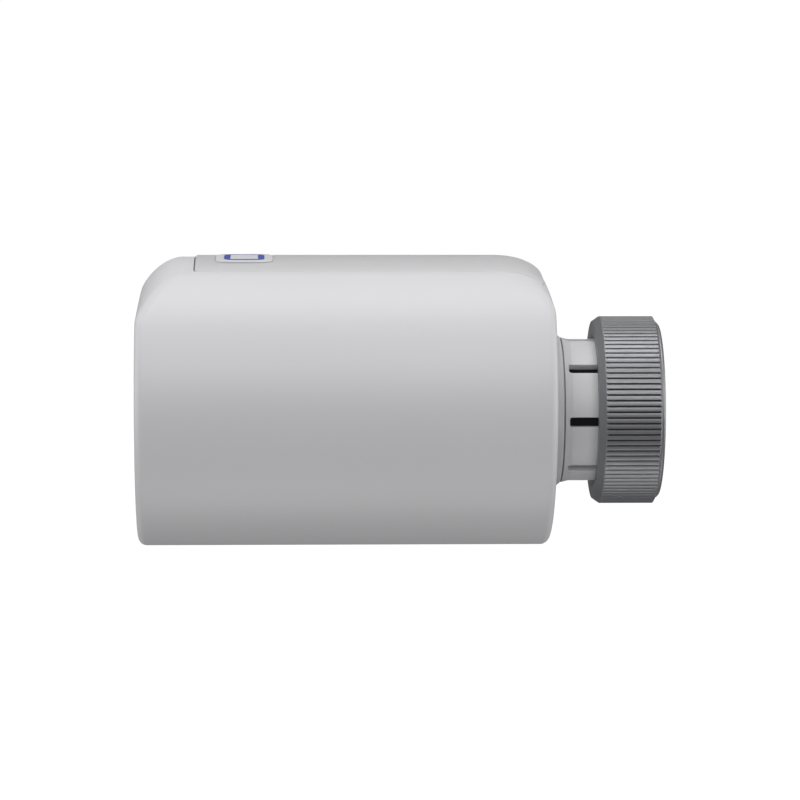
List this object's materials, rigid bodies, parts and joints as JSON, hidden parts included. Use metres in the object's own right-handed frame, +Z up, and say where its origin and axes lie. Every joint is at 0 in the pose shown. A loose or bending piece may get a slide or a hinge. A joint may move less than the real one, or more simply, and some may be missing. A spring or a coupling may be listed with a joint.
{
  "type": "radiator valve actuator head",
  "caption": "Battery motorised radiator-valve head: rounded white body, light display strip with ring button, slotted neck and knurled metal union nut, driving a push pin.",
  "frame": {"origin": "centre of the union nut's open end, on the valve axis", "axes": "+X along the valve axis, out of the nut's open end towards the valve; +Z up through the flat display strip"},
  "size_m": [0.0986, 0.0558, 0.055],
  "materials": {
    "housing_white": "fine satin moulded surface",
    "panel_grey": "smooth satin, slightly greyer than the body",
    "neck_grey": "satin moulded",
    "nut_metal": "satin nickel plate with a straight knurl and a bright turned lip",
    "ring_blue": "smooth translucent light guide",
    "black_plastic": "satin",
    "board_green": "solder mask",
    "chassis_grey": "satin moulded",
    "cell_sleeve": "printed foil sleeve without lettering",
    "gear_plastic": "natural acetal",
    "pinion_brass": "turned",
    "wire_red": "insulated wire",
    "steel": "plain bright steel"
  },
  "bodies": {
    "housing": {"housing_shell": "housing_white", "display_panel": "panel_grey", "end_cap": "housing_white", "valve_collar": "neck_grey", "button_switch": "black_plastic", "main_board": "board_green", "display_module": "black_plastic", "light_mask": "black_plastic", "ring_led": "ring_blue", "radio_shield": "steel", "buffer_capacitor": "chassis_grey", "motor_connector": "neck_grey", "temperature_sensor": "black_plastic", "chassis": "chassis_grey", "battery_cell_front": "cell_sleeve", "battery_cell_rear": "cell_sleeve", "contact_plate_front": "steel", "contact_plate_rear": "steel", "contact_spring_front": "steel", "contact_spring_rear": "steel", "motor_can": "steel", "motor_end_bell": "black_plastic", "motor_lead_red": "wire_red", "motor_lead_black": "black_plastic", "gearbox_frame": "chassis_grey", "gearbox_cover": "chassis_grey", "first_axle_pin": "steel", "second_axle_pin": "steel", "thrust_washer": "steel", "board_screw_1": "steel", "board_screw_2": "steel", "board_screw_3": "steel", "board_screw_4": "steel", "gearbox_screw_1": "steel", "gearbox_screw_2": "steel", "gearbox_screw_3": "steel", "gearbox_screw_4": "steel", "collar_screw_1": "steel", "collar_screw_2": "steel", "collar_screw_3": "steel"},
    "nut": {"union_nut": "nut_metal"},
    "button": {"button_cap": "housing_white", "button_light_ring": "ring_blue", "switch_stem": "black_plastic"},
    "cover": {"battery_cover": "housing_white", "bridge_contact": "steel"},
    "output": {"output_gear": "gear_plastic"},
    "second_stage": {"second_gear": "gear_plastic"},
    "first_stage": {"first_gear": "gear_plastic"},
    "rotor": {"motor_shaft": "steel", "motor_pinion": "pinion_brass"},
    "drive": {"drive_screw": "steel", "plunger": "black_plastic"}
  },
  "joints": [
    {"name": "nut_turn", "type": "hinge", "parent": "housing", "child": "nut", "pos_m": [0, 0, 0], "axis": [1, 0, 0], "continuous": true},
    {"name": "button_press", "type": "slide", "parent": "housing", "child": "button", "axis": [0, 0, -1], "range_m": [0, 0.0006], "stiffness_N_per_m": 2500},
    {"name": "cover_pull", "type": "slide", "parent": "housing", "child": "cover", "axis": [-1, 0, 0], "range_m": [0, 0.03]},
    {"name": "output_gear_turn", "type": "hinge", "parent": "housing", "child": "output", "pos_m": [0, 0, 0], "axis": [1, 0, 0], "range_deg": [0, 1080]},
    {"name": "second_gear_turn", "type": "hinge", "parent": "housing", "child": "second_stage", "pos_m": [-0.03, 0.00926, 0.01103], "axis": [1, 0, 0], "continuous": true},
    {"name": "first_gear_turn", "type": "hinge", "parent": "housing", "child": "first_stage", "pos_m": [-0.032, 0.01446, 0.00202], "axis": [1, 0, 0], "continuous": true},
    {"name": "motor_turn", "type": "hinge", "parent": "housing", "child": "rotor", "pos_m": [-0.034, 0.01446, 0.01242], "axis": [1, 0, 0], "continuous": true},
    {"name": "plunger_travel", "type": "slide", "parent": "housing", "child": "drive", "axis": [1, 0, 0], "range_m": [0, 0.0045]}
  ],
  "couplings": [
    {"joint": "output_gear_turn", "follows": "plunger_travel", "rad_per_m": 4188.8},
    {"joint": "second_gear_turn", "follows": "plunger_travel", "rad_per_m": -20944},
    {"joint": "first_gear_turn", "follows": "plunger_travel", "rad_per_m": 69813},
    {"joint": "motor_turn", "follows": "plunger_travel", "rad_per_m": -232710}
  ]
}
